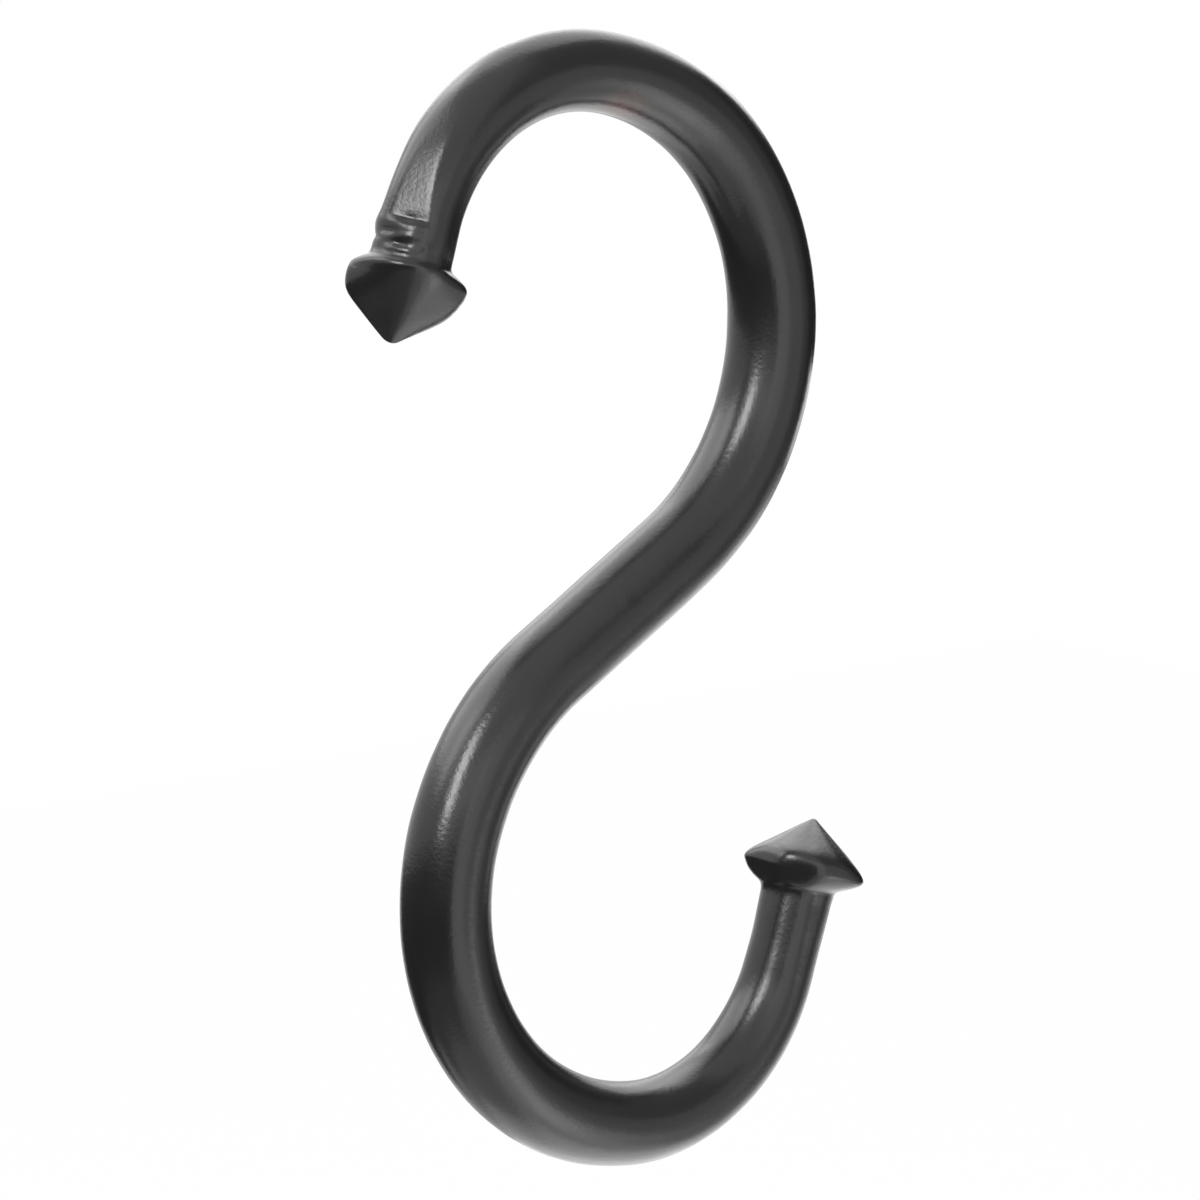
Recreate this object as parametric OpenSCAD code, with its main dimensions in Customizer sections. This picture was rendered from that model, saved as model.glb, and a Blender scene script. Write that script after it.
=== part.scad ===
// S hook in one cast piece: a round bar bent into an S, with a small square point at each end.
// The S lies in the XZ plane and hangs upright. The origin is the seat inside the upper hook,
// where a rail bears. Each arm runs from the middle of the S: a straight half of the diagonal,
// the main bend, a tighter bend, a short straight, then the collar and the pointed head.

/* [Bar] */
// Diameter of the bar along the diagonal
bar_d = 8; // [5:0.1:14]
// Diameter of the upper arm at its collar
upper_tip_d = 6.85; // [4:0.05:12]
// Diameter of the lower arm at its collar
lower_tip_d = 6.6; // [4:0.05:12]
// Length over which the upper arm tapers
upper_taper_len = 74; // [10:1:90]
// Length over which the lower arm tapers
lower_taper_len = 48; // [10:1:90]

/* [Bends] */
// Length of the straight diagonal in the middle
diagonal_len = 16.4; // [4:0.1:60]
// Angle of the diagonal above the horizontal
diagonal_angle = 31; // [10:1:50]
// Radius of the main bends, to the middle of the bar
bend_r = 23.4; // [16:0.1:60]
// Turn of each main bend
bend_angle = 142; // [110:1:160]
// Radius of the upper arm's tighter bend
upper_tip_r = 17.1; // [12:0.1:40]
// Radius of the lower arm's tighter bend
lower_tip_r = 16.3; // [12:0.1:40]
// Turn of each tighter bend
tip_angle = 79.5; // [40:0.5:100]
// Straight length before the upper collar
upper_tip_len = 1.5; // [0.5:0.1:20]
// Straight length before the lower collar
lower_tip_len = 6.5; // [0.5:0.1:20]

/* [Squared ends] */
// How square the upper arm is at its collar, from 0 for round to 1 for sharp corners
upper_arm_square = 0.62; // [0:0.01:0.9]
// How square the lower arm is at its collar
lower_arm_square = 0.3; // [0:0.01:0.9]
// Length over which the upper arm goes from round to square
upper_square_len = 17; // [4:0.5:40]
// Length over which the lower arm goes from round to square
lower_square_len = 12; // [4:0.5:40]
// Turn of the upper head's corners about the arm
upper_head_turn = -12; // [-45:1:45]
// Turn of the lower head's corners about the arm
lower_head_turn = -7; // [-45:1:45]

/* [Heads] */
// Length of the collar between the upper arm and its head
upper_collar_len = 2.2; // [1:0.1:8]
// Length of the collar between the lower arm and its head
lower_collar_len = 1.1; // [1:0.1:8]
// Depth of the groove round the upper collar
groove_depth = 0.2; // [0:0.01:0.8]
// How far the upper collar swells on both sides of its groove
upper_swell = 0.25; // [0:0.01:0.8]
// How far the lower collar swells where it meets its head
lower_swell = 0.1; // [0:0.01:0.8]
// Width of the upper head, from corner to corner
upper_head_w = 10.7; // [9:0.1:22]
// Width of the lower head, from corner to corner
lower_head_w = 11.1; // [9:0.1:22]
// How square the heads are
head_square = 0.7; // [0.2:0.01:0.9]
// Slope under the upper head, from the collar out to the rim, measured along the arm
upper_flare_len = 0.2; // [0.1:0.1:4]
// Slope under the lower head
lower_flare_len = 1.1; // [0.1:0.1:4]
// Thickness of the upper head's rounded rim
upper_rim_len = 3.4; // [1:0.1:8]
// Thickness of the lower head's rounded rim
lower_rim_len = 2; // [1:0.1:8]
// Height of the upper head's point above its rim
upper_point_len = 3.3; // [1:0.1:12]
// Height of the lower head's point above its rim
lower_point_len = 3.7; // [1:0.1:12]
// Radius of the worn tip of each point
point_r = 0.5; // [0.1:0.05:1.5]

/* [Smoothness] */
// Facets in each quarter of the section
quarter_facets = 7; // [4:1:9]
// Degrees of bend between two sections
bend_step = 6; // [3:1:12]

/* [Hidden] */
iron = "#39393b";
sides = 4 * quarter_facets;
square_gain = sqrt(2) - 1;
// Shares of the head's width that the rim has at its underside and at the base of the point
under_share = 0.76;
base_share = 0.86;
// Fullness of the rim's outline: 2 is an ellipse, more is fuller
rim_fullness = 2.2;
rim_sections = 9;
point_sections = 3;
dome_sections = 3;
// Length of the arm over which the collar's swell rises
swell_len = 4;
// Places of the collar's sections as shares of its length, and how deep the groove is there
collar_shares = [0.12, 0.24, 0.36, 0.48, 0.6, 0.8, 1];
groove_shares = [0.2, 0.8, 1, 0.8, 0.2, 0, 0];

// An arm's sizes in one list, so that one set of functions serves both arms
TIP_D = 0;
TAPER = 1;
TIP_R = 2;
TIP_LEN = 3;
SQUARE = 4;
SQUARE_LEN = 5;
TURN = 6;
HEAD_W = 7;
FLARE = 8;
RIM = 9;
POINT = 10;
SWELL = 11;
GROOVE = 12;
COLLAR = 13;
upper = [upper_tip_d, upper_taper_len, upper_tip_r, upper_tip_len, upper_arm_square,
    upper_square_len, upper_head_turn, upper_head_w, upper_flare_len, upper_rim_len,
    upper_point_len, upper_swell, groove_depth + upper_swell, upper_collar_len];
lower = [lower_tip_d, lower_taper_len, lower_tip_r, lower_tip_len, lower_arm_square,
    lower_square_len, lower_head_turn, lower_head_w, lower_flare_len, lower_rim_len,
    lower_point_len, lower_swell, 0, lower_collar_len];

// Lengths along the middle of the bar
half_diagonal = diagonal_len / 2;
function arc_len(r, angle) = r * angle * PI / 180;
bend_end = half_diagonal + arc_len(bend_r, bend_angle);
function tip_bend_end(arm) = bend_end + arc_len(arm[TIP_R], tip_angle);
function arm_len(arm) = tip_bend_end(arm) + arm[TIP_LEN];

// Heading of the arm, in degrees above +X, and its point in the XZ plane, at a length along it
function heading(arm, s) =
    s <= half_diagonal ? diagonal_angle :
    s <= bend_end ? diagonal_angle + (s - half_diagonal) / bend_r * 180 / PI :
    s <= tip_bend_end(arm) ? diagonal_angle + bend_angle + (s - bend_end) / arm[TIP_R] * 180 / PI :
    diagonal_angle + bend_angle + tip_angle;
function ahead(angle) = [cos(angle), sin(angle)];
function outside(angle) = [sin(angle), -cos(angle)];
diagonal_tip = half_diagonal * ahead(diagonal_angle);
bend_centre = diagonal_tip - bend_r * outside(diagonal_angle);
bend_tip = bend_centre + bend_r * outside(diagonal_angle + bend_angle);
function tip_centre(arm) = bend_tip - arm[TIP_R] * outside(diagonal_angle + bend_angle);
function tip_bend_tip(arm) = tip_centre(arm) + arm[TIP_R] * outside(diagonal_angle + bend_angle + tip_angle);
function place(arm, s) =
    s <= half_diagonal ? s * ahead(diagonal_angle) :
    s <= bend_end ? bend_centre + bend_r * outside(heading(arm, s)) :
    s <= tip_bend_end(arm) ? tip_centre(arm) + arm[TIP_R] * outside(heading(arm, s)) :
    tip_bend_tip(arm) + (s - tip_bend_end(arm)) * ahead(heading(arm, s));

// A smooth step from 0 to 1 over the last part of the arm, from a given length to its collar
function late(arm, s, len) = (1 - cos(180 * min(1, max(0, (s - arm_len(arm) + len) / len)))) / 2;
function arm_r(arm, s) = (bar_d + (arm[TIP_D] - bar_d) * late(arm, s, arm[TAPER])) / 2;

// The seat of a hook is the inner side of the bar where the arm runs level
level_turn = 180 - diagonal_angle;
function seat_s(arm) = level_turn <= bend_angle ?
    half_diagonal + arc_len(bend_r, level_turn) :
    bend_end + arc_len(arm[TIP_R], level_turn - bend_angle);
function seat(arm) = place(arm, seat_s(arm)) - [0, arm_r(arm, seat_s(arm))];

// Sections are [length along the arm, corner distance, squareness, share of the head's turn]
function steps(from, to, step) =
    let (count = max(1, ceil((to - from) / step)))
    [for (i = [1:count]) from + (to - from) * i / count];
function bar_stations(arm) = concat(
    [half_diagonal],
    steps(half_diagonal, bend_end, arc_len(bend_r, bend_step)),
    steps(bend_end, tip_bend_end(arm), arc_len(arm[TIP_R], bend_step)),
    steps(tip_bend_end(arm), arm_len(arm), arc_len(arm[TIP_R], bend_step)));
function bar_sections(arm) = [for (s = bar_stations(arm))
    [s, arm_r(arm, s) + arm[SWELL] * late(arm, s, swell_len),
        arm[SQUARE] * late(arm, s, arm[SQUARE_LEN]), late(arm, s, arm[TAPER])]];

function collar_sections(arm) = [for (i = [0:len(collar_shares) - 1])
    [arm_len(arm) + arm[COLLAR] * collar_shares[i],
        arm[TIP_D] / 2 + arm[SWELL] - arm[GROOVE] * groove_shares[i],
        arm[SQUARE] + (head_square - arm[SQUARE]) * collar_shares[i], 1]];

// The rim bulges from the end of the flare under it to the base of the point
function rim_from(arm) = arm_len(arm) + arm[COLLAR] + arm[FLARE];
function rim_bulge(u) = pow(1 - pow(abs(2 * u - 1), rim_fullness), 1 / rim_fullness);
function rim_sections_of(arm) = [for (i = [0:rim_sections - 1])
    let (u = (1 - cos(180 * i / (rim_sections - 1))) / 2,
        widest = arm[HEAD_W] / 2,
        edge = widest * (u < 0.5 ? under_share : base_share))
    [rim_from(arm) + arm[RIM] * u, edge + (widest - edge) * rim_bulge(u), head_square, 1]];

// The point runs straight to its worn tip, which is a dome that its edges meet at a tangent
function point_sections_of(arm) =
    let (base = rim_from(arm) + arm[RIM],
        base_w = arm[HEAD_W] / 2 * base_share,
        slope = atan2(base_w, arm[POINT]),
        dome_w = point_r * cos(slope),
        dome_from = arm[POINT] * (1 - dome_w / base_w))
    concat(
        [for (i = [1:point_sections])
            let (u = i / point_sections)
            [base + dome_from * u, base_w + (dome_w - base_w) * u, head_square, 1]],
        [for (i = [1:dome_sections])
            let (a = slope + (90 - slope) * i / (dome_sections + 1))
            [base + dome_from + point_r * (sin(a) - sin(slope)), point_r * cos(a),
                head_square * (1 - i / dome_sections), 1]]);
function apex_s(arm) = let (all = point_sections_of(arm)) all[len(all) - 1][0] + point_r / 20;

function arm_sections(arm) = concat(
    bar_sections(arm), collar_sections(arm), rim_sections_of(arm), point_sections_of(arm));

// One section: a square of rounded corners, whose corners lie at the corner distance
function outline(corner, square, turn) =
    let (half = corner / (1 + square * square_gain),
        round_r = (1 - square) * half,
        offset_r = (half - round_r) * sqrt(2))
    [for (k = [0:3], i = [0:quarter_facets - 1])
        offset_r * ahead(45 + 90 * k + turn)
        + round_r * ahead(90 * k + 90 * (i + 0.5) / quarter_facets + turn)];

// The upper arm leads away from the middle; the lower arm is the same path turned half round
function upper_ring(section) =
    let (angle = heading(upper, section[0]),
        middle = place(upper, section[0]),
        side = outside(angle))
    [for (p = outline(section[1], section[2], section[3] * upper[TURN]))
        [middle[0] + p[0] * side[0], p[1], middle[1] + p[0] * side[1]]];
function lower_ring(section) =
    let (angle = heading(lower, section[0]),
        middle = -place(lower, section[0]),
        side = outside(angle))
    [for (p = outline(section[1], section[2], -section[3] * lower[TURN]))
        [middle[0] + p[0] * side[0], p[1], middle[1] + p[0] * side[1]]];

function reversed(list) = [for (i = [len(list) - 1:-1:0]) list[i]];
function flat(list) = [for (part = list, p = part) p];
function in_row(p, y) = [p[0], y, p[1]];

// Sweeps the rings into one closed solid, with a corner at the tip of each point
module s_hook() {
    rings = concat(
        [for (section = reversed(arm_sections(lower))) lower_ring(section)],
        [for (section = arm_sections(upper)) upper_ring(section)]);
    count = len(rings);
    start = count * sides;
    end = start + 1;
    tips = [in_row(-place(lower, apex_s(lower)), 0), in_row(place(upper, apex_s(upper)), 0)];
    body = [for (r = [0:count - 2], i = [0:sides - 1])
        let (a = r * sides + i, b = r * sides + (i + 1) % sides, c = a + sides, d = b + sides)
        each [[a, c, b], [b, c, d]]];
    caps = [for (i = [0:sides - 1])
        let (next = (i + 1) % sides, last = (count - 1) * sides)
        each [[start, i, next], [last + next, last + i, end]]];
    color(iron)
    translate(in_row(-seat(upper), 0))
    polyhedron(points = concat(flat(rings), tips), faces = concat(body, caps), convexity = 8);
}

s_hook();
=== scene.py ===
import logging
import math
from dataclasses import dataclass
from enum import Enum
from typing import Any, Iterable

import bmesh
import bpy
from mathutils import Matrix, Vector, noise


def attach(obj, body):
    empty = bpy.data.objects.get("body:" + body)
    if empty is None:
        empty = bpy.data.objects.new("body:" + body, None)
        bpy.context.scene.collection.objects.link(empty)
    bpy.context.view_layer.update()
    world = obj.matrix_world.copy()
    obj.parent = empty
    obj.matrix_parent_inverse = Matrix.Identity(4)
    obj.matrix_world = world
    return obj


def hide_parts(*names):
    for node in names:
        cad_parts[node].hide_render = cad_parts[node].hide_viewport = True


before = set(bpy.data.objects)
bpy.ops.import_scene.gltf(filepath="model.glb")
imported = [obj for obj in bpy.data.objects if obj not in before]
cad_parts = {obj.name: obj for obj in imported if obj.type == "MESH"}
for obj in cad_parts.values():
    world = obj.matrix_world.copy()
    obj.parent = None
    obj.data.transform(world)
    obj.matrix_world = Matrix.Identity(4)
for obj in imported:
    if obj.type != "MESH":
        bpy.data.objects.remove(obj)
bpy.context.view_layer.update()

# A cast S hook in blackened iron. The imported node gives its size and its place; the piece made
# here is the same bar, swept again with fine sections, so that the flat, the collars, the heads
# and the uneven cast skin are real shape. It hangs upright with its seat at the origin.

MM = 0.001
THICKNESS_AXIS = Vector((0.0, 1.0, 0.0))
# A facet or flat only trims the skin that faces its way: the least cosine between the two
FACET_REACH = 0.1
FLAT_REACH = 0.3
# How far a lump is followed, in its own lengths and widths
LUMP_REACH = 3
# Sockets of the Mix node when it mixes colours, whose names it gives to other sockets as well
MIX_FACTOR, MIX_A, MIX_B = 0, 6, 7
MIX_COLOUR = 2
log = logging.getLogger("s_hook")


class Side(Enum):
    """Which arm of the S: the lower arm is the upper one's path turned half round."""

    UPPER = 1
    LOWER = -1


def linear(hex_colour: str) -> tuple[float, float, float, float]:
    """Turns an sRGB hex colour into linear red, green, blue and alpha.

    Args:
        hex_colour: Six hex digits after a hash sign.

    Returns:
        The linear colour with an alpha of 1.
    """
    parts = [int(hex_colour[i:i + 2], 16) / 255 for i in (1, 3, 5)]
    red, green, blue = (p / 12.92 if p <= 0.04045 else ((p + 0.055) / 1.055) ** 2.4 for p in parts)
    return (red, green, blue, 1.0)


def smooth(value: float, start: float, end: float) -> float:
    """Rises smoothly from 0 at start to 1 at end.

    Args:
        value: Where to read the step.
        start: Where it leaves 0.
        end: Where it reaches 1.

    Returns:
        The height of the step, from 0 to 1.
    """
    share = min(1.0, max(0.0, (value - start) / (end - start)))
    return (1 - math.cos(math.pi * share)) / 2


def turn_between(a: float, b: float) -> float:
    """The turn from b to a in degrees, from -180 to 180."""
    return (a - b + 180) % 360 - 180


def add_node(tree: bpy.types.NodeTree, kind: str, settings: dict[str, Any] | None = None,
             links: dict[Any, bpy.types.NodeSocket] | None = None) -> bpy.types.Node:
    """Adds a node to a tree, sets it up and links its inputs.

    Args:
        tree: The material's or world's node tree.
        kind: Blender's name for the type of node.
        settings: Properties by name, or input values by the name or number of the input.
        links: The socket that feeds each input, by the name or number of the input.

    Returns:
        The new node.
    """
    node = tree.nodes.new(kind)
    for key, value in (settings or {}).items():
        if isinstance(key, str) and hasattr(node, key):
            setattr(node, key, value)
        else:
            node.inputs[key].default_value = value
    for key, socket in (links or {}).items():
        tree.links.new(socket, node.inputs[key])
    return node


@dataclass(frozen=True)
class Bends:
    """The path that both arms share, in millimetres and degrees."""

    bar_d: float = 8.0
    diagonal_len: float = 16.4
    diagonal_angle: float = 31.0
    bend_r: float = 23.4
    bend_angle: float = 142.0
    tip_angle: float = 79.5


@dataclass(frozen=True)
class Facet:
    """A flat that trims a head: which way it faces, in degrees round the arm, and how it leans.

    Its slope is how far it moves out for each millimetre back from the blunted tip, and its base
    is its distance from the arm's line there.
    """

    around: float
    slope: float
    base: float = 0.0


@dataclass(frozen=True)
class HeadSections:
    """How many sections shape a head's neck, its underside, of this length, and its crown."""

    neck: int = 12
    underside: int = 24
    underside_len: float = 1.6
    crown: int = 48


@dataclass(frozen=True)
class HeadFades:
    """How gently the parts of a head take over from each other, in millimetres along the arm.

    The block takes over from the neck by the first length past the arm's end, and its underside
    by the second. The flare comes in between its two places, and the lean comes in past the
    junction and goes again before the tip.
    """

    block: float = 1.4
    underside: float = 1.0
    flare_start: float = 0.6
    flare_end: float = 1.8
    lean_in: float = 1.5
    lean_out: float = 3.0


@dataclass(frozen=True)
class Head:
    """A square block on the arm's end, chamfered underneath and drawn to a blunt point above.

    The junction, where the block starts, and the length are millimetres past the arm's end. The
    neck is a radius, and the corner is the distance of the block's corners from the arm's line.
    A squareness goes from 0, round, to 1, sharp corners. The slopes of the underside and the
    crown are how far they move out for each millimetre along the arm. As the casting came out,
    the block sits a little to one side: it leans out toward that side, and its underside is
    tilted away from the arm there. The fillet rounds the join under the block, and the blunt
    rounds the tip. The block's sides may flare, by a share for each millimetre, up to the rim of
    the crown, and the block may be turned on its neck. The crispness is that of the edges
    between the block's faces, and the ridges between its facets have their own.
    """

    junction: float
    length: float
    neck: float
    neck_square: float
    corner: float
    square: float
    under_slope: float
    crown_slope: float
    crown_square: float
    lean: float
    tilt: float
    toward: float
    fillet: float
    facets: tuple[Facet, ...]
    blunt: float = 0.3
    flare: float = 0.0
    rim: float = 3.1
    block_turn: float = 0.0
    crispness: float = 9.0
    ridge_crispness: float = 4.0
    sections: HeadSections = HeadSections()
    fades: HeadFades = HeadFades()

    def stations(self) -> list[float]:
        """Where the head's sections stand: close together where it widens and at its tip.

        Returns:
            Millimetres past the arm's end.
        """
        cuts = self.sections
        made = [self.junction * (i + 1) / cuts.neck for i in range(cuts.neck)]
        for i in range(cuts.underside):
            made.append(self.junction + cuts.underside_len * (i + 1) / cuts.underside)
        widest = made[-1]
        for i in range(cuts.crown):
            share = math.sin(math.pi / 2 * (i + 1) / cuts.crown)
            made.append(widest + (self.length - widest) * share)
        return made

    def trims(self, left: float, around: float) -> list[float]:
        """How far out the facets that face this way let the skin be.

        Args:
            left: Millimetres to the tip.
            around: Degrees round the arm.

        Returns:
            Their blended distance from the arm's line, or nothing where no facet faces this way.
        """
        flats = []
        for facet in self.facets:
            facing = math.cos(math.radians(around - facet.around))
            if facing > FACET_REACH:
                flats.append((facet.base + facet.slope * (left + self.blunt)) / facing)
        return [blend(flats, -self.ridge_crispness)] if flats else []

    def surface(self, past: float, around: float, turn: float) -> float:
        """Distance of the head's skin from the arm's line.

        Args:
            past: Millimetres past the arm's end.
            around: Degrees round the arm.
            turn: Degrees that the neck is turned round the arm.

        Returns:
            The distance in millimetres.
        """
        fades = self.fades
        left = max(0.0, self.length - past)
        turned = around - turn - self.block_turn
        side = math.cos(math.radians(around - self.toward))
        step = past - self.junction - self.tilt * side
        under = (step + math.hypot(step, self.fillet)) / 2 * self.under_slope
        neck = self.neck + under * smooth(past, 0.0, fades.underside)
        neck *= rounded_square(around - turn, self.neck_square)
        below_rim = max(0.0, self.rim - past) * smooth(past, fades.flare_start, fades.flare_end)
        bounds = [
            self.corner * rounded_square(turned, self.square) * (1 - self.flare * below_rim),
            neck,
            self.crown_slope * (left + self.blunt) * rounded_square(turned, self.crown_square),
            math.sqrt(4 * self.blunt * left) + self.crown_slope * left,
        ]
        bounds += self.trims(left, around)
        shift = smooth(past, self.junction, self.junction + fades.lean_in)
        shift *= smooth(left, 0.0, fades.lean_out)
        block = blend(bounds, -self.crispness) + self.lean * side * shift
        return neck + (block - neck) * smooth(past, 0.0, fades.block)


@dataclass(frozen=True)
class Lump:
    """A low swelling of the cast skin, or a hollow where its height is below zero.

    Its place is millimetres along the arm past its end and degrees round it from the outside of
    the bend, its length and width are in the same units, and its height is in millimetres.
    """

    along: float
    around: float
    length: float
    width: float
    height: float


@dataclass(frozen=True)
class Flat:
    """A flat dressed along the outside of the bend, which widens toward the collar.

    It starts and stops at these millimetres past the arm's end, and runs out over a short lead
    before its start. Its depths, at its start and its stop, are its distances from the arm's
    line. It ends in a short scoop, where it lifts out of the bar, and its edge is the crispness
    of its outline.
    """

    start: float
    stop: float
    start_around: float
    stop_around: float
    start_depth: float
    stop_depth: float
    lead: float = 2.0
    scoop: float = 0.5
    lift: float = 0.8
    edge: float = 70.0


@dataclass(frozen=True)
class Arm:
    """One arm of the S, from the middle of the diagonal to the tip of its point.

    The bar tapers, is turned and goes square over lengths that end where the collar starts. It
    meets the head's neck over the last millimetres: the neck's squareness and its radius each
    come in over their own length.
    """

    side: Side
    bends: Bends
    tip_d: float
    taper_len: float
    tip_r: float
    tip_len: float
    square: float
    square_len: float
    turn: float
    head: Head
    lumps: tuple[Lump, ...] = ()
    flat: Flat | None = None
    neck_square_len: float = 3.0
    neck_swell_len: float = 4.0
    bar_step: float = 0.55

    @property
    def half_diagonal(self) -> float:
        """Length of the straight half of the diagonal."""
        return self.bends.diagonal_len / 2

    @property
    def bend_end(self) -> float:
        """Length along the arm to the end of the main bend."""
        return self.half_diagonal + self.bends.bend_r * math.radians(self.bends.bend_angle)

    @property
    def tip_bend_end(self) -> float:
        """Length along the arm to the end of the tighter bend."""
        return self.bend_end + self.tip_r * math.radians(self.bends.tip_angle)

    @property
    def length(self) -> float:
        """Length along the arm to its collar."""
        return self.tip_bend_end + self.tip_len

    def heading(self, s: float) -> float:
        """The arm's direction.

        Args:
            s: Length along the arm.

        Returns:
            The angle above +X of the upper arm's path, in degrees.
        """
        bends = self.bends
        main = math.degrees(max(0.0, min(s, self.bend_end) - self.half_diagonal) / bends.bend_r)
        tip = math.degrees(max(0.0, min(s, self.tip_bend_end) - self.bend_end) / self.tip_r)
        return bends.diagonal_angle + main + tip

    def ahead(self, s: float) -> Vector:
        """The unit vector along the arm.

        Args:
            s: Length along the arm.

        Returns:
            The direction in the hook's frame.
        """
        angle = math.radians(self.heading(s))
        return Vector((math.cos(angle), 0.0, math.sin(angle))) * self.side.value

    def outside(self, s: float) -> Vector:
        """The unit vector to the outside of the bend.

        Args:
            s: Length along the arm.

        Returns:
            The direction in the hook's frame.
        """
        angle = math.radians(self.heading(s))
        return Vector((math.sin(angle), 0.0, -math.cos(angle))) * self.side.value

    def place(self, s: float) -> Vector:
        """The middle of the bar, with the middle of the S as the origin.

        Args:
            s: Length along the arm.

        Returns:
            The point in metres.
        """
        straight = min(s, self.half_diagonal)
        point = self.ahead(0.0) * straight
        if s > self.half_diagonal:
            point += (self.outside(min(s, self.bend_end)) - self.outside(0.0)) * self.bends.bend_r
        if s > self.bend_end:
            point += (self.outside(s) - self.outside(self.bend_end)) * self.tip_r
        if s > self.tip_bend_end:
            point += self.ahead(s) * (s - self.tip_bend_end)
        return point * MM

    def bar_radius(self, s: float) -> float:
        """Radius of the plain tapering bar.

        Args:
            s: Length along the arm.

        Returns:
            The radius in millimetres.
        """
        share = smooth(s, self.length - self.taper_len, self.length)
        return (self.bends.bar_d + (self.tip_d - self.bends.bar_d) * share) / 2

    def seat(self) -> Vector:
        """The inner side of the bar where the arm runs level, with the middle of the S as origin.

        Returns:
            The point in metres.
        """
        over = 180 - self.bends.diagonal_angle - self.bends.bend_angle
        s = self.bend_end + self.tip_r * math.radians(over)
        return self.place(s) - self.outside(s) * self.bar_radius(s) * MM

    def stations(self) -> list[float]:
        """Where the sections of the whole arm stand.

        Returns:
            Lengths along the arm.
        """
        marks = (0.0, self.half_diagonal, self.bend_end, self.tip_bend_end, self.length)
        bar = []
        for start, end in zip(marks, marks[1:]):
            step = self.bar_step if start < self.bend_end else self.bar_step / 2
            count = max(1, math.ceil((end - start) / step))
            bar += [start + (end - start) * (i + 1) / count for i in range(count)]
        return bar + [self.length + past for past in self.head.stations()]

    def surface(self, s: float, around: float) -> float:
        """Distance of the hook's skin from the middle of the bar.

        Args:
            s: Length along the arm.
            around: Degrees round the bar, from the outside of the bend towards +Y.

        Returns:
            The distance in millimetres.
        """
        past = s - self.length
        turn = self.turn * smooth(s, self.length - self.taper_len, self.length)
        if past > 0:
            radius = self.head.surface(past, around, turn)
        else:
            square = self.square * smooth(past, -self.square_len, 0.0)
            square += (self.head.neck_square - self.square) * smooth(past, -self.neck_square_len, 0.0)
            swell = (self.head.neck - self.tip_d / 2) * smooth(past, -self.neck_swell_len, 0.0)
            radius = (self.bar_radius(s) + swell) * rounded_square(around - turn, square)
        radius = self.flatten(s, around, radius)
        for lump in self.lumps:
            along = (past - lump.along) / lump.length
            across = turn_between(around, lump.around) / lump.width
            if max(abs(along), abs(across)) < LUMP_REACH:
                radius += lump.height * math.exp(-along * along - across * across)
        return radius

    def flatten(self, s: float, around: float, radius: float) -> float:
        """Takes the bar down to its flat, where it has one.

        Args:
            s: Length along the arm.
            around: Degrees round the bar.
            radius: Distance of the skin without the flat, in millimetres.

        Returns:
            The distance with the flat, in millimetres.
        """
        past = s - self.length
        flat = self.flat
        if flat is None or not flat.start - flat.lead < past < flat.stop + flat.scoop:
            return radius
        share = min(1.0, (past - flat.start) / (flat.stop - flat.start))
        faces = flat.start_around + (flat.stop_around - flat.start_around) * share
        facing = math.cos(math.radians(around - faces))
        if facing < FLAT_REACH:
            return radius
        depth = flat.start_depth + (flat.stop_depth - flat.start_depth) * share
        lifted = depth + smooth(past, flat.stop, flat.stop + flat.scoop) * flat.lift
        return blend([radius, lifted / facing], -flat.edge)

    def out(self, s: float, around: float) -> Vector:
        """The unit vector from the middle of the bar to a point of its skin.

        Args:
            s: Length along the arm.
            around: Degrees round the bar.

        Returns:
            The direction in the hook's frame.
        """
        angle = math.radians(around)
        return self.outside(s) * math.cos(angle) + THICKNESS_AXIS * math.sin(angle)


def blend(values: list[float], sharpness: float) -> float:
    """The least of some lengths, or the greatest, with the change from one to the next rounded.

    Args:
        values: The lengths.
        sharpness: How tight the rounding is; below zero the least is taken.

    Returns:
        The blended length.
    """
    if sharpness < 0 and min(values) <= 1e-6:
        return 0.0
    scale = min(values) if sharpness < 0 else max(values)
    return scale * sum((value / scale) ** sharpness for value in values) ** (1 / sharpness)


def rounded_square(around: float, square: float) -> float:
    """Outline of a square with rounded corners at 45 degrees, whose corners lie at a distance of 1.

    Args:
        around: Degrees round the section.
        square: From 0, a circle, to 1, sharp corners.

    Returns:
        Distance of the outline from the middle.
    """
    half = 1 / (1 + square * (math.sqrt(2) - 1))
    corner_r = (1 - square) * half
    off = math.radians(abs((around % 90) - 45))
    from_side = math.pi / 4 - off
    if half * math.tan(from_side) <= half - corner_r:
        return half / math.cos(from_side)
    middle = (half - corner_r) * math.sqrt(2)
    return middle * math.cos(off) + math.sqrt(max(0.0, corner_r ** 2 - (middle * math.sin(off)) ** 2))


@dataclass(frozen=True)
class CastSkin:
    """How uneven the cast surface is: swells from the mould, and small hammer-like ripples.

    Sizes and heights are in millimetres. The unevenness fades within a small radius of the arm's
    line, so that the points of the heads stay clean.
    """

    swell_size: float = 9.0
    swell_height: float = 0.07
    ripple_size: float = 2.6
    ripple_height: float = 0.018
    fade_radius: float = 2.0

    def height(self, point: Vector) -> float:
        """Height of the skin's unevenness.

        Args:
            point: A point of the plain surface, in millimetres.

        Returns:
            The height in millimetres.
        """
        swell = noise.noise(point / self.swell_size) * self.swell_height
        return swell + noise.noise(point / self.ripple_size) * self.ripple_height


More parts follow.
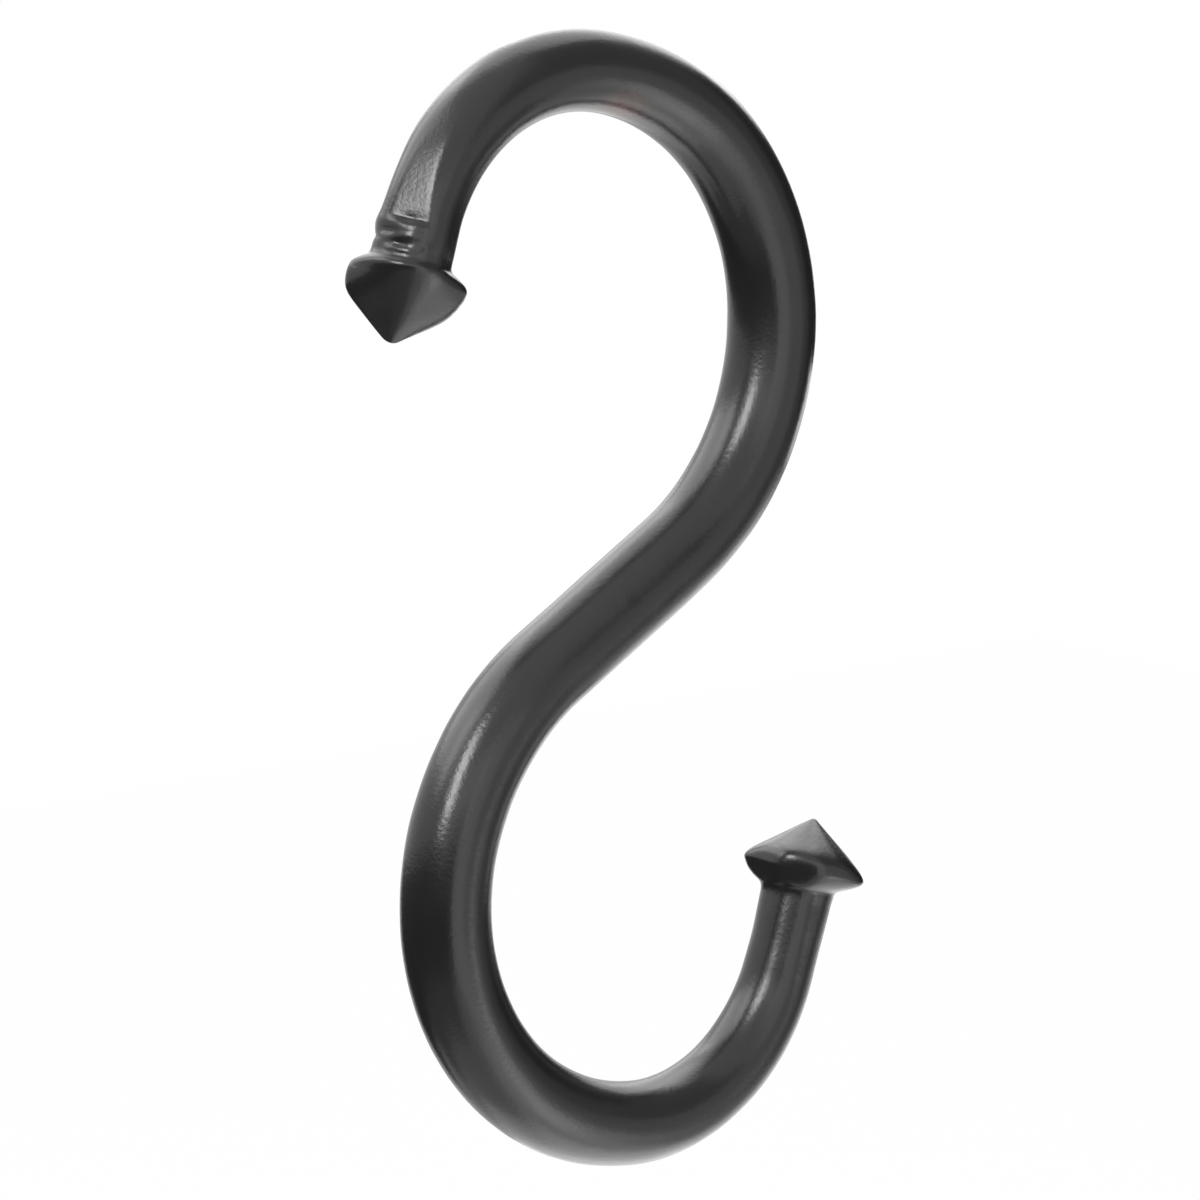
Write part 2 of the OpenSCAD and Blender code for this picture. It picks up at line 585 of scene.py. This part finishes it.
@dataclass(frozen=True)
class BlackenedIron:
    """Cast iron under a satin black wax: a near-black body, a soft gloss and a fine sand grain.

    The body goes from one near-black to a slightly lighter one in patches, and the roughness
    with it, which keeps the streaks of light from looking moulded. The grain is bump only, and
    breaks up their edges. A brown tint is mixed into the body round one point on the inside of
    the upper bend, by its share within its core, which is a share of its radius, and fades from
    there. Sizes are in millimetres.
    """

    name: str = "blackened_cast_iron"
    body: str = "#161617"
    body_light: str = "#1f1e1f"
    warm: str = "#5a3426"
    warm_at: tuple[float, float, float] = (3.6, -1.6, 0.0)
    warm_radius: float = 3.2
    warm_core: float = 0.2
    warm_share: float = 0.5
    roughness: float = 0.25
    roughness_spread: float = 0.04
    ior: float = 1.5
    grain_size: float = 0.35
    grain_detail: float = 2.0
    grain_height: float = 0.018
    patch_size: float = 6.0
    patch_detail: float = 3.0

    def material(self) -> bpy.types.Material:
        """Builds the finish from patterns on Object coordinates.

        Returns:
            The material.
        """
        made = bpy.data.materials.new(self.name)
        made.use_nodes = True
        tree = made.node_tree
        tree.nodes.clear()
        place = add_node(tree, "ShaderNodeTexCoord").outputs["Object"]
        patches = self.pattern(tree, place, self.patch_size, self.patch_detail)
        grain = self.pattern(tree, place, self.grain_size, self.grain_detail)
        body = add_node(
            tree, "ShaderNodeMix",
            {"data_type": "RGBA", MIX_A: linear(self.body), MIX_B: linear(self.body_light)},
            {MIX_FACTOR: patches},
        )
        # A brown tint mixed into the body colour round one point on the inside of the upper bend
        brown_tinted = self.warm_patch(tree, place, body.outputs[MIX_COLOUR])
        gloss = add_node(
            tree, "ShaderNodeMapRange",
            {
                "To Min": self.roughness - self.roughness_spread,
                "To Max": self.roughness + self.roughness_spread,
            },
            {"Value": patches},
        )
        bump = add_node(
            tree, "ShaderNodeBump",
            {"Strength": 1.0, "Distance": self.grain_height * MM},
            {"Height": grain},
        )
        shader = add_node(
            tree, "ShaderNodeBsdfPrincipled",
            {"IOR": self.ior},
            {"Base Color": brown_tinted, "Roughness": gloss.outputs["Result"], "Normal": bump.outputs["Normal"]},
        )
        add_node(tree, "ShaderNodeOutputMaterial", None, {"Surface": shader.outputs["BSDF"]})
        return made

    def pattern(self, tree: bpy.types.NodeTree, place: bpy.types.NodeSocket, size: float,
                detail: float) -> bpy.types.NodeSocket:
        """Adds a noise pattern whose spots have a real size.

        Args:
            tree: The material's node tree.
            place: The Object coordinates.
            size: Size of a spot in millimetres.
            detail: How many finer layers the noise has.

        Returns:
            The socket with the pattern, from 0 to 1.
        """
        spots = add_node(
            tree, "ShaderNodeTexNoise",
            {"Scale": 1 / (size * MM), "Detail": detail},
            {"Vector": place},
        )
        return spots.outputs["Fac"]

    def warm_patch(self, tree: bpy.types.NodeTree, place: bpy.types.NodeSocket,
                   body: bpy.types.NodeSocket) -> bpy.types.NodeSocket:
        """Mixes a brown tint into the colour round one point on the inside of the upper bend.

        Args:
            tree: The material's node tree.
            place: The Object coordinates.
            body: The colour of the rest.

        Returns:
            The socket with the mixed colour.
        """
        away = add_node(
            tree, "ShaderNodeVectorMath",
            {"operation": "DISTANCE", 1: Vector(self.warm_at) * MM},
            {0: place},
        )
        near = add_node(
            tree, "ShaderNodeMapRange",
            {
                "From Min": self.warm_radius * MM,
                "From Max": self.warm_radius * self.warm_core * MM,
                "To Min": 0.0,
                "To Max": self.warm_share,
            },
            {"Value": away.outputs["Value"]},
        )
        mixed = add_node(
            tree, "ShaderNodeMix",
            {"data_type": "RGBA", MIX_B: linear(self.warm)},
            {MIX_FACTOR: near.outputs["Result"], MIX_A: body},
        )
        return mixed.outputs[MIX_COLOUR]


@dataclass(frozen=True)
class Hook:
    """The whole hook: two arms that start from one section in the middle of the diagonal."""

    upper: Arm
    lower: Arm
    skin: CastSkin = CastSkin()
    sides: int = 96

    def build(self, finish: BlackenedIron) -> bpy.types.Object:
        """Sweeps both arms, shapes every section and makes the piece.

        Args:
            finish: The hook's finish.

        Returns:
            The piece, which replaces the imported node.
        """
        mesh = bmesh.new()
        start = Matrix.Identity(4)
        axes = (self.upper.outside(0.0), THICKNESS_AXIS, self.upper.ahead(0.0))
        for column, axis in enumerate(axes):
            start.col[column] = (*axis, 0.0)
        radius = self.upper.bends.bar_d / 2 * MM
        bmesh.ops.create_circle(mesh, cap_ends=False, segments=self.sides, radius=radius, matrix=start)
        first = list(mesh.verts)
        for arm in (self.upper, self.lower):
            self.sweep(mesh, first, arm)
        bmesh.ops.translate(mesh, verts=mesh.verts, vec=-self.upper.seat())
        bmesh.ops.recalc_face_normals(mesh, faces=mesh.faces)
        for face in mesh.faces:
            face.smooth = True
        data = bpy.data.meshes.new("cast_hook")
        mesh.to_mesh(data)
        mesh.free()
        data.materials.append(finish.material())
        piece = bpy.data.objects.new("cast_hook", data)
        bpy.context.scene.collection.objects.link(piece)
        return piece

    def sweep(self, mesh: bmesh.types.BMesh, first: list[bmesh.types.BMVert], arm: Arm) -> None:
        """Sweeps the first section along one arm, then shapes each section and closes the tip.

        Args:
            mesh: The mesh that is being built.
            first: The section in the middle of the diagonal.
            arm: The arm to sweep along.
        """
        ring = first
        done = 0.0
        rings = []
        for s in arm.stations():
            ring = self.advance(mesh, ring, arm, done, s)
            done = s
            rings.append((ring, s))
        for ring, s in rings[:-1]:
            self.shape(ring, arm, s)
        bmesh.ops.pointmerge(mesh, verts=rings[-1][0], merge_co=arm.place(done))

    def advance(self, mesh: bmesh.types.BMesh, ring: list[bmesh.types.BMVert], arm: Arm, start: float,
                end: float) -> list[bmesh.types.BMVert]:
        """Carries a section one step along the arm: spun round a bend, or extruded ahead.

        Args:
            mesh: The mesh that is being built.
            ring: The section to carry.
            arm: The arm to follow.
            start: Length along the arm where the section is.
            end: Length along the arm where it goes.

        Returns:
            The new section.
        """
        edges = section_edges(ring)
        turn = math.radians(arm.heading(end) - arm.heading(start))
        if turn > 0:
            radius = arm.bends.bend_r if end <= arm.bend_end + 1e-6 else arm.tip_r
            middle = arm.place(start) - arm.outside(start) * radius * MM
            made = bmesh.ops.spin(
                mesh, geom=[*ring, *edges], cent=middle, axis=-THICKNESS_AXIS, dvec=(0, 0, 0),
                angle=turn, steps=1, use_merge=False, use_normal_flip=False, use_duplicate=False,
            )["geom_last"]
            return [item for item in made if isinstance(item, bmesh.types.BMVert)]
        made = bmesh.ops.extrude_edge_only(mesh, edges=edges)["geom"]
        moved = [item for item in made if isinstance(item, bmesh.types.BMVert)]
        bmesh.ops.translate(mesh, verts=moved, vec=arm.ahead(end) * (end - start) * MM)
        return moved

    def shape(self, ring: Iterable[bmesh.types.BMVert], arm: Arm, s: float) -> None:
        """Moves each vertex of a section out or in to the hook's skin.

        Args:
            ring: The section's vertices.
            arm: The arm that the section belongs to.
            s: Length along the arm.
        """
        middle = arm.place(s)
        outside = arm.outside(s)
        for vertex in ring:
            out = (vertex.co - middle).normalized()
            around = math.degrees(math.atan2(out.dot(THICKNESS_AXIS), out.dot(outside)))
            distance = arm.surface(s, around)
            point = middle / MM + out * distance
            fade = min(1.0, distance / self.skin.fade_radius)
            vertex.co = middle + out * (distance + self.skin.height(point) * fade) * MM


def section_edges(ring: Iterable[bmesh.types.BMVert]) -> list[bmesh.types.BMEdge]:
    """The edges that join a section's own vertices.

    Args:
        ring: The section's vertices.

    Returns:
        Each edge once, in the order of the vertices.
    """
    own = set(ring)
    found = [edge for vertex in ring for edge in vertex.link_edges if edge.other_vert(vertex) in own]
    return list(dict.fromkeys(found))


@dataclass(frozen=True)
class Viewpoint:
    """Where the photograph was taken from, in millimetres and degrees, and how long its lens was.

    The focal share is the lens's focal length as a share of the sensor's width, and the clips
    are in metres.
    """

    azimuth: float = -38.56
    elevation: float = 10.89
    distance: float = 384.7
    right_shift: float = -1.02
    up_shift: float = 0.91
    focal_share: float = 4366.8 / 1200
    sensor: float = 36.0
    near_clip: float = 0.01
    far_clip: float = 20.0

    def axes(self) -> tuple[Vector, Vector, Vector]:
        """The picture's right, its up, and the way back to the camera.

        Returns:
            Three unit vectors.
        """
        turn = math.radians(self.azimuth)
        tilt = math.radians(self.elevation)
        level = Vector((math.sin(turn), -math.cos(turn), 0.0))
        back = level * math.cos(tilt) + Vector((0.0, 0.0, math.sin(tilt)))
        right = Vector((0.0, 0.0, 1.0)).cross(back).normalized()
        return right, back.cross(right), back

    def placed(self, aim: Vector, sideways: float, height: float, distance: float) -> Matrix:
        """A frame that looks at a point from a direction given as seen from the camera.

        Args:
            aim: The point to look at, in metres.
            sideways: Degrees to the right of the camera.
            height: Degrees above the camera's line of sight.
            distance: Distance from the point, in metres.

        Returns:
            The frame, whose -Z axis points at the aim.
        """
        right, up, back = self.axes()
        turn = math.radians(sideways)
        lift = math.radians(height)
        level = right * math.sin(turn) + back * math.cos(turn)
        out = level * math.cos(lift) + up * math.sin(lift)
        place = Matrix.Translation(aim + out * distance)
        side = up.cross(out).normalized()
        turned = Matrix.Identity(4)
        for column, axis in enumerate((side, out.cross(side), out)):
            turned.col[column] = (*axis, 0.0)
        return place @ turned

    def camera(self, middle: Vector) -> bpy.types.Object:
        """Makes the camera.

        Args:
            middle: The middle of the S, in metres.

        Returns:
            The camera.
        """
        right, up, _ = self.axes()
        aim = middle + (right * self.right_shift + up * self.up_shift) * MM
        data = bpy.data.cameras.new("photograph_view")
        data.sensor_width = self.sensor
        data.lens = self.sensor * self.focal_share
        data.clip_start = self.near_clip
        data.clip_end = self.far_clip
        made = bpy.data.objects.new("photograph_view", data)
        made.matrix_world = self.placed(aim, 0.0, 0.0, self.distance * MM)
        bpy.context.scene.collection.objects.link(made)
        bpy.context.scene.camera = made
        return made


@dataclass(frozen=True)
class SoftLight:
    """A flat soft light: its place and size as seen from the camera in degrees, its brightness.

    It faces the middle of the hook, or a point at an offset from it in millimetres, and stands
    at a distance from that point in metres. The brightness is about that of its face, where the
    white surround has 1.
    """

    name: str
    sideways: float
    height: float
    width_angle: float
    height_angle: float
    brightness: float
    distance: float = 1.0
    offset: tuple[float, float, float] = (0.0, 0.0, 0.0)

    def build(self, view: Viewpoint, aim: Vector) -> bpy.types.Object:
        """Makes the lamp.

        Args:
            view: The camera's viewpoint.
            aim: The point that the lamp faces.

        Returns:
            The lamp.
        """
        data = bpy.data.lights.new(self.name, "AREA")
        data.shape = "RECTANGLE"
        data.size = 2 * self.distance * math.tan(math.radians(self.width_angle / 2))
        data.size_y = 2 * self.distance * math.tan(math.radians(self.height_angle / 2))
        data.energy = self.brightness * math.pi * data.size * data.size_y
        made = bpy.data.objects.new(self.name, data)
        target = aim + Vector(self.offset) * MM
        made.matrix_world = view.placed(target, self.sideways, self.height, self.distance)
        made.visible_camera = False
        bpy.context.scene.collection.objects.link(made)
        return made


@dataclass(frozen=True)
class Card:
    """A curved card round the hook, which fills part of the white surround with an even tone.

    It goes from one place sideways and in height to another, in degrees as seen from the camera,
    at a distance in metres.
    """

    name: str
    sideways: tuple[float, float]
    height: tuple[float, float]
    tone: float
    distance: float = 1.3
    steps: int = 16

    def build(self, view: Viewpoint, aim: Vector) -> bpy.types.Object:
        """Spins an upright edge round the hook into a curved card.

        Args:
            view: The camera's viewpoint.
            aim: The point that the card faces.

        Returns:
            The card.
        """
        right, up, back = view.axes()
        low, high = (math.tan(math.radians(angle)) * self.distance for angle in self.height)
        start, end = (math.radians(angle) for angle in self.sideways)
        foot = aim + (right * math.sin(start) + back * math.cos(start)) * self.distance
        mesh = bmesh.new()
        ends = [mesh.verts.new(foot + up * level) for level in (low, high)]
        edge = mesh.edges.new(ends)
        bmesh.ops.spin(
            mesh, geom=[*ends, edge], cent=aim, axis=up, dvec=(0, 0, 0),
            angle=end - start, steps=self.steps,
            use_merge=False, use_normal_flip=False, use_duplicate=False,
        )
        data = bpy.data.meshes.new(self.name)
        mesh.to_mesh(data)
        mesh.free()
        data.materials.append(self.material())
        made = bpy.data.objects.new(self.name, data)
        made.visible_camera = False
        bpy.context.scene.collection.objects.link(made)
        return made

    def material(self) -> bpy.types.Material:
        """Makes the card's even tone, which needs no lamp.

        Returns:
            The material.
        """
        made = bpy.data.materials.new(self.name)
        made.use_nodes = True
        tree = made.node_tree
        tree.nodes.clear()
        even = add_node(tree, "ShaderNodeEmission", {"Color": (1, 1, 1, 1), "Strength": self.tone})
        add_node(tree, "ShaderNodeOutputMaterial", None, {"Surface": even.outputs[0]})
        return made


@dataclass(frozen=True)
class Studio:
    """A pale floor, a white surround, soft lights and a few cards.

    The floor's level and width are in metres, and its share is how much of it is plain white.
    """

    floor_level: float = -0.75
    floor_width: float = 5.0
    floor_colour: str = "#f4f4f2"
    floor_share: float = 0.93
    # Degrees to the right of the camera and above it, width and height in degrees, brightness
    lights: tuple[SoftLight, ...] = (
        SoftLight("key_window", -27.5, 20.0, 14.5, 29.0, 13.6),
        SoftLight("left_sky", -98.0, 44.0, 66.0, 40.0, 2.4),
        SoftLight("left_near", -63.0, 35.0, 28.0, 24.0, 1.5),
        SoftLight("back_high", 177.0, 56.0, 61.0, 73.0, 1.6),
        SoftLight("back_low", 161.0, -47.3, 52.0, 80.0, 0.95, 0.5),
        SoftLight("right_low", 54.5, -17.8, 71.0, 52.0, 0.55, 0.8),
        SoftLight("right_low_back", 114.4, -62.0, 82.0, 34.5, 0.9, 0.5),
        SoftLight("front_fill", 0.5, 0.8, 50.0, 25.0, 0.82, 0.55),
        SoftLight("right_strip", 73.5, -36.9, 11.0, 35.0, 1.9, 0.7),
        SoftLight("crown_window", 180.0, 64.0, 42.0, 36.0, 1.8, 0.12, (27.0, 0.0, -10.0)),
        SoftLight("crown_side", 138.0, 44.0, 24.0, 36.0, 2.2, 0.03, (27.0, 0.0, -10.0)),
    )
    cards: tuple[Card, ...] = (
        Card("left_card", (-148.0, 15.8), (-41.5, -1.8), 0.04, 0.6),
        Card("left_low_card", (-116.6, 5.6), (-61.0, -41.5), 0.30, 0.38),
        Card("right_card", (49.0, 115.5), (-25.5, 69.0), 0.33),
        Card("right_back_card", (108.5, 160.0), (-12.5, 36.0), 0.03, 1.25),
    )

    def build(self, view: Viewpoint, aim: Vector) -> None:
        """Makes the floor, the surround, the lights and the cards.

        Args:
            view: The camera's viewpoint.
            aim: The middle of the hook.
        """
        self.world()
        self.floor()
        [card.build(view, aim) for card in self.cards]
        for light in self.lights:
            light.build(view, aim)
            log.info("light %s", light.name)

    def world(self) -> None:
        """Makes the plain white surround."""
        world = bpy.data.worlds.new("white_surround")
        world.use_nodes = True
        tree = world.node_tree
        tree.nodes.clear()
        white = add_node(tree, "ShaderNodeBackground", {"Color": (1, 1, 1, 1), "Strength": 1.0})
        add_node(tree, "ShaderNodeOutputWorld", None, {"Surface": white.outputs[0]})
        bpy.context.scene.world = world

    def seen(self, tree: bpy.types.NodeTree) -> bpy.types.NodeSocket:
        """Adds what tells the rays that should see plain white.

        Args:
            tree: The node tree to add to.

        Returns:
            A socket that is 1 for camera, glossy and transmission rays.
        """
        path = add_node(tree, "ShaderNodeLightPath")
        direct = add_node(
            tree, "ShaderNodeMath", {"operation": "MAXIMUM"},
            {0: path.outputs["Is Camera Ray"], 1: path.outputs["Is Glossy Ray"]},
        )
        every = add_node(
            tree, "ShaderNodeMath", {"operation": "MAXIMUM"},
            {0: direct.outputs[0], 1: path.outputs["Is Transmission Ray"]},
        )
        return every.outputs[0]

    def floor(self) -> bpy.types.Object:
        """Makes the pale floor, which reads white but keeps a soft shadow.

        Returns:
            The floor.
        """
        made = bpy.data.materials.new("pale_floor")
        made.use_nodes = True
        tree = made.node_tree
        tree.nodes.clear()
        matt = add_node(tree, "ShaderNodeBsdfDiffuse", {"Color": linear(self.floor_colour)})
        white = add_node(tree, "ShaderNodeEmission", {"Color": (1, 1, 1, 1), "Strength": 1.0})
        share = add_node(
            tree, "ShaderNodeMath", {"operation": "MULTIPLY", 1: self.floor_share}, {0: self.seen(tree)},
        )
        mixed = add_node(
            tree, "ShaderNodeMixShader", None,
            {0: share.outputs[0], 1: matt.outputs[0], 2: white.outputs[0]},
        )
        add_node(tree, "ShaderNodeOutputMaterial", None, {"Surface": mixed.outputs[0]})
        mesh = bmesh.new()
        level = Matrix.Translation((0.0, 0.0, self.floor_level))
        bmesh.ops.create_grid(mesh, x_segments=1, y_segments=1, size=self.floor_width / 2, matrix=level)
        data = bpy.data.meshes.new("floor")
        mesh.to_mesh(data)
        mesh.free()
        data.materials.append(made)
        floor = bpy.data.objects.new("floor", data)
        bpy.context.scene.collection.objects.link(floor)
        return floor


def make_hook() -> Hook:
    """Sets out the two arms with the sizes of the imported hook.

    Returns:
        The hook, ready to build.
    """
    bends = Bends()
    upper_head = Head(
        junction=2.1, length=9.0, neck=3.50, neck_square=0.15, corner=5.34, square=0.75,
        under_slope=2.2, crown_slope=1.42, crown_square=0.35, lean=0.24, tilt=-0.04, toward=-140.0,
        fillet=0.2, facets=(Facet(-93.0, 0.59), Facet(-40.5, 0.60), Facet(-125.0, 1.25)),
        block_turn=20.0,
    )
    # Millimetres past the arm's end, degrees round it, length, width in degrees, height
    collar_lumps = (
        Lump(-1.15, -36.0, 0.35, 14.0, -0.10),
        Lump(-0.55, -40.0, 0.22, 22.0, 0.12),
        Lump(0.02, 0.0, 0.35, 22.0, -0.16),
        Lump(0.12, -42.0, 0.25, 16.0, 0.10),
        Lump(0.92, -30.0, 0.28, 16.0, -0.18),
        Lump(1.38, -36.0, 0.20, 18.0, 0.12),
        Lump(0.80, -70.0, 0.45, 5.0, 0.10),
        Lump(0.60, 35.0, 0.30, 30.0, -0.14),
        Lump(-0.7, 45.0, 0.9, 35.0, 0.24),
        Lump(-4.4, 42.0, 3.0, 30.0, -0.24),
        Lump(0.5, -140.0, 2.0, 40.0, 0.08),
    )
    upper = Arm(
        side=Side.UPPER, bends=bends, tip_d=7.0, taper_len=74.0, tip_r=17.1, tip_len=1.5,
        square=0.15, square_len=14.0, turn=-34.0, head=upper_head, lumps=collar_lumps,
        flat=Flat(
            start=-10.2, stop=-1.3, start_around=-25.0, stop_around=-35.5,
            start_depth=3.50, stop_depth=2.93,
        ),
    )
    lower_head = Head(
        junction=1.40, length=7.86, neck=3.34, neck_square=0.08, corner=5.90, square=0.74,
        under_slope=2.2, crown_slope=1.31, crown_square=0.0, lean=0.18, tilt=0.30, toward=-40.0,
        fillet=0.25, facets=(Facet(-135.0, -0.22, 5.30),), blunt=0.10, flare=0.12, crispness=12.0,
    )
    lower = Arm(
        side=Side.LOWER, bends=bends, tip_d=6.6, taper_len=48.0, tip_r=16.3, tip_len=6.5,
        square=0.05, square_len=12.0, turn=-2.0, head=lower_head,
        lumps=(Lump(-4.0, 140.0, 4.0, 50.0, -0.15), Lump(-1.5, -40.0, 3.0, 50.0, 0.07)),
    )
    return Hook(upper, lower)


def main() -> None:
    """Builds the studio and the hook."""
    logging.basicConfig(level=logging.INFO, format="%(name)s: %(message)s")
    bpy.context.scene.view_settings.view_transform = "Standard"
    hook = make_hook()
    middle = -hook.upper.seat()
    view = Viewpoint()
    view.camera(middle)
    Studio().build(view, middle)
    piece = hook.build(BlackenedIron())
    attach(piece, "root")
    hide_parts("s_hook")
    log.info("piece %s: %d faces", piece.name, len(piece.data.polygons))
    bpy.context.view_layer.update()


if __name__ == "__main__":
    main()
